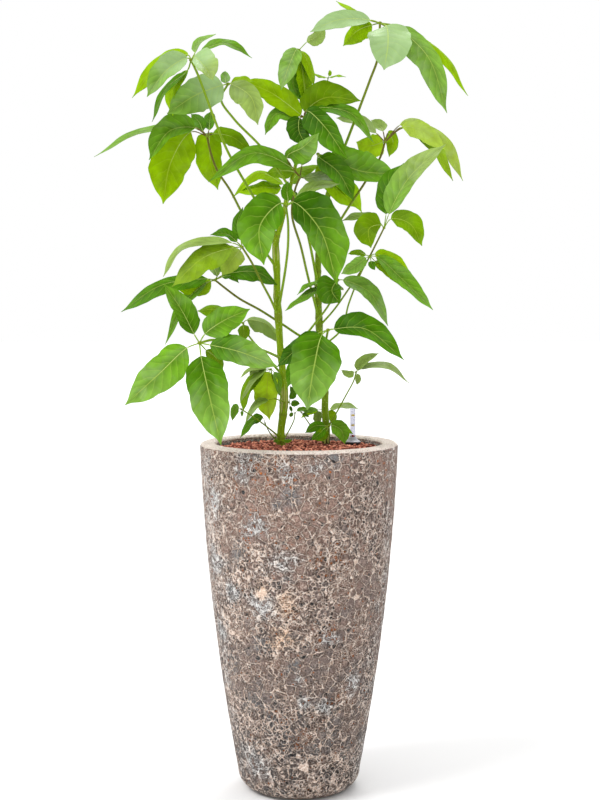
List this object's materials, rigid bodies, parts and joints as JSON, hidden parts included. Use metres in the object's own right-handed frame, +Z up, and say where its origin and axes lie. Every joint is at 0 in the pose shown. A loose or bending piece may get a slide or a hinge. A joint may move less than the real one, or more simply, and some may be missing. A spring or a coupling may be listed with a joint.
{
  "type": "potted umbrella plant",
  "caption": "Umbrella plant with long-stalked whorls of glossy leaflets, growing in clay granules in a tall tapering glazed planter with a water level gauge.",
  "frame": {"origin": "middle of the planter's flat foot, on the floor", "axes": "+Z up along the planter; the pictured side faces -Y; +X is to the right as pictured"},
  "size_m": [0.7091, 0.4222, 1.5087],
  "materials": {
    "lava_glaze": "rough lava glaze: pinkish cream ridges round grey brown pits, with rust and charcoal spots",
    "filler_foam": "pressed foam block",
    "liner_plastic": "satin black",
    "culture_pot_plastic": "satin anthracite",
    "clay_granules": "matt expanded clay granules, terracotta",
    "gauge_black": "satin",
    "float_foam": "closed cell foam",
    "red_plastic": "glossy red",
    "grey_plastic": "semi gloss pale grey",
    "clear_tube": "clear, slightly milky",
    "yellow_mark": "printed yellow",
    "green_stem": "smooth green bark with paler nodes and leaf scars",
    "leaf": "glossy mid green with pale midrib and quilted veins",
    "leaf_young": "semi gloss yellow green young leaf"
  },
  "bodies": {
    "root": {"planter": "lava_glaze", "base_filler": "filler_foam", "liner": "liner_plastic", "culture_pot": "culture_pot_plastic", "fill_granules": "clay_granules", "root_granules": "clay_granules", "top_granules": "clay_granules", "gauge_casing": "gauge_black", "gauge_float": "float_foam", "gauge_rod": "red_plastic", "gauge_collar": "grey_plastic", "gauge_tube": "clear_tube", "gauge_mark_low": "yellow_mark", "gauge_mark_high": "yellow_mark", "stem_left": "green_stem", "stem_right": "green_stem", "leaf_top_left": "leaf", "leaf_upper_left": "leaf", "leaf_left_upper": "leaf", "leaf_centre_upper": "leaf", "leaf_centre_front": "leaf", "leaf_back_centre": "leaf", "leaf_right_centre": "leaf", "leaf_crown": "leaf", "leaf_top_centre": "leaf", "young_shoot": "leaf_young", "leaf_top_right": "leaf", "leaf_right_upper": "leaf", "leaf_right_middle": "leaf", "leaf_left_middle": "leaf", "leaf_left_back": "leaf", "leaf_front_low_left": "leaf", "leaf_low_back_left": "leaf_young", "leaf_front_low_centre": "leaf", "leaf_middle_right": "leaf", "leaf_right_low": "leaf", "leaf_low_right": "leaf_young", "leaf_behind_right_stem": "leaf_young", "leaf_foot_right": "leaf", "leaf_low_left": "leaf_young", "leaf_foot_left": "leaf", "sprout_arching_left": "leaf_young", "sprout_dark_left": "leaf_young", "sprout_between_high": "leaf_young", "sprout_between_low": "leaf_young", "sprout_to_right_stem": "leaf_young", "sprout_on_granules": "leaf_young"}
  },
  "joints": []
}
